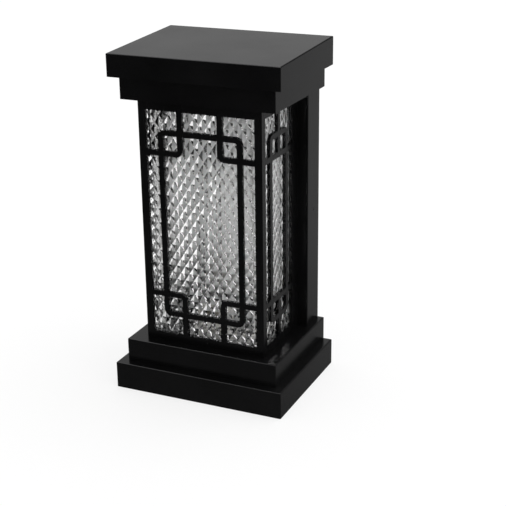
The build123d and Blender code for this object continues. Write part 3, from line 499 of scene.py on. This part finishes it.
# What the camera and the glass see is close to plain white.
white = add_node(tree, "ShaderNodeEmission", Strength=1.11)
bright = add_node(tree, "ShaderNodeMixShader", Fac=0.65)
tree.links.new(shader.outputs["BSDF"], bright.inputs[1])
tree.links.new(white.outputs["Emission"], bright.inputs[2])
direct = add_node(tree, "ShaderNodeMath")
direct.operation = "MAXIMUM"
tree.links.new(ray.outputs["Is Camera Ray"], direct.inputs[0])
tree.links.new(ray.outputs["Is Transmission Ray"], direct.inputs[1])
seen = add_node(tree, "ShaderNodeMixShader")
tree.links.new(direct.outputs["Value"], seen.inputs["Fac"])
tree.links.new(shader.outputs["BSDF"], seen.inputs[1])
tree.links.new(bright.outputs["Shader"], seen.inputs[2])
# What the gloss mirrors darkens towards the camera.
depth = add_node(tree, "ShaderNodeMapRange", From_Min=-0.35, From_Max=0.35, To_Min=GLOSS_DARK, To_Max=0.31)
tree.links.new(parts.outputs["Y"], depth.inputs["Value"])
gloss = add_node(tree, "ShaderNodeEmission")
tree.links.new(depth.outputs["Result"], gloss.inputs["Strength"])
# Rays through glass count as gloss too, but stay white except far in front.
near = add_node(tree, "ShaderNodeMapRange", From_Min=-0.7, From_Max=-0.28, To_Min=0.0, To_Max=1.0)
tree.links.new(parts.outputs["Y"], near.inputs["Value"])
through = add_node(tree, "ShaderNodeMath")
through.operation = "MULTIPLY"
tree.links.new(ray.outputs["Is Transmission Ray"], through.inputs[0])
tree.links.new(near.outputs["Result"], through.inputs[1])
bounced = add_node(tree, "ShaderNodeMath")
bounced.operation = "SUBTRACT"
bounced.use_clamp = True
tree.links.new(ray.outputs["Is Glossy Ray"], bounced.inputs[0])
tree.links.new(through.outputs["Value"], bounced.inputs[1])
mirrored = add_node(tree, "ShaderNodeMixShader")
tree.links.new(bounced.outputs["Value"], mirrored.inputs["Fac"])
tree.links.new(seen.outputs["Shader"], mirrored.inputs[1])
tree.links.new(gloss.outputs["Emission"], mirrored.inputs[2])
tree.links.new(mirrored.outputs["Shader"], tree.nodes["Material Output"].inputs["Surface"])

world = bpy.data.worlds.new("studio")
scene.world = world
world.use_nodes = True
tree = world.node_tree
ray = add_node(tree, "ShaderNodeLightPath")
place = add_node(tree, "ShaderNodeTexCoord")
parts = add_node(tree, "ShaderNodeSeparateXYZ")
tree.links.new(place.outputs["Generated"], parts.inputs["Vector"])
# In gloss: bright at the back left and overhead.
lit = add_node(tree, "ShaderNodeVectorMath")
lit.operation = "DOT_PRODUCT"
lit.inputs[1].default_value = (-0.7, 0.7, 0.0)
tree.links.new(place.outputs["Generated"], lit.inputs[0])
depth = add_node(tree, "ShaderNodeMapRange", From_Min=0.35, From_Max=0.85, To_Min=GLOSS_DARK, To_Max=0.48)
tree.links.new(lit.outputs["Value"], depth.inputs["Value"])
above = add_node(tree, "ShaderNodeMapRange", From_Min=0.6, From_Max=0.85, To_Min=0.0, To_Max=1.8)
tree.links.new(parts.outputs["Z"], above.inputs["Value"])
both = add_node(tree, "ShaderNodeMath")
tree.links.new(depth.outputs["Result"], both.inputs[0])
tree.links.new(above.outputs["Result"], both.inputs[1])
mirrored = add_node(tree, "ShaderNodeMix")
mirrored.inputs[2].default_value = 0.6
tree.links.new(ray.outputs["Is Glossy Ray"], mirrored.inputs["Factor"])
tree.links.new(both.outputs["Value"], mirrored.inputs[3])
# Behind the lantern and through glass: white, and brighter than white at the left.
side = add_node(tree, "ShaderNodeMapRange", From_Min=-0.8, From_Max=-0.1, To_Min=1.5, To_Max=1.0)
tree.links.new(parts.outputs["X"], side.inputs["Value"])
direct = add_node(tree, "ShaderNodeMath")
direct.operation = "MAXIMUM"
tree.links.new(ray.outputs["Is Camera Ray"], direct.inputs[0])
tree.links.new(ray.outputs["Is Transmission Ray"], direct.inputs[1])
shown = add_node(tree, "ShaderNodeMix")
tree.links.new(direct.outputs["Value"], shown.inputs["Factor"])
tree.links.new(mirrored.outputs["Result"], shown.inputs[2])
tree.links.new(side.outputs["Result"], shown.inputs[3])
surround = tree.nodes["Background"]
surround.inputs["Color"].default_value = (1, 1, 1, 1)
tree.links.new(shown.outputs["Result"], surround.inputs["Strength"])

key = bpy.data.lights.new("key", "SUN")
key.energy = 1.3
key.angle = math.radians(80)
lamp = bpy.data.objects.new("key", key)
lamp.rotation_mode = "QUATERNION"
lamp.rotation_quaternion = Vector((0.3, 0.2, 1)).to_track_quat("Z", "Y")
scene.collection.objects.link(lamp)

# Camera: a long lens from the front right, a little above the lantern.
# Its place and its turn were fitted to corner points of the photograph.
azimuth, elevation, roll = math.radians(24.575), math.radians(20.418), math.radians(-0.718)
stand = Vector((0.43658, -0.95313, 0.33486))
level = math.cos(elevation)
back = Vector((math.sin(azimuth) * level, -math.cos(azimuth) * level, math.sin(elevation)))
right = Vector((0, 0, 1)).cross(back).normalized()
up = back.cross(right)
right, up = right * math.cos(roll) + up * math.sin(roll), up * math.cos(roll) - right * math.sin(roll)
view = bpy.data.cameras.new("camera")
view.lens = 85.4
view.sensor_width = 36.0
camera = bpy.data.objects.new("camera", view)
camera.matrix_world = Matrix.Translation(stand) @ Matrix((right, up, back)).transposed().to_4x4()
scene.collection.objects.link(camera)
scene.camera = camera
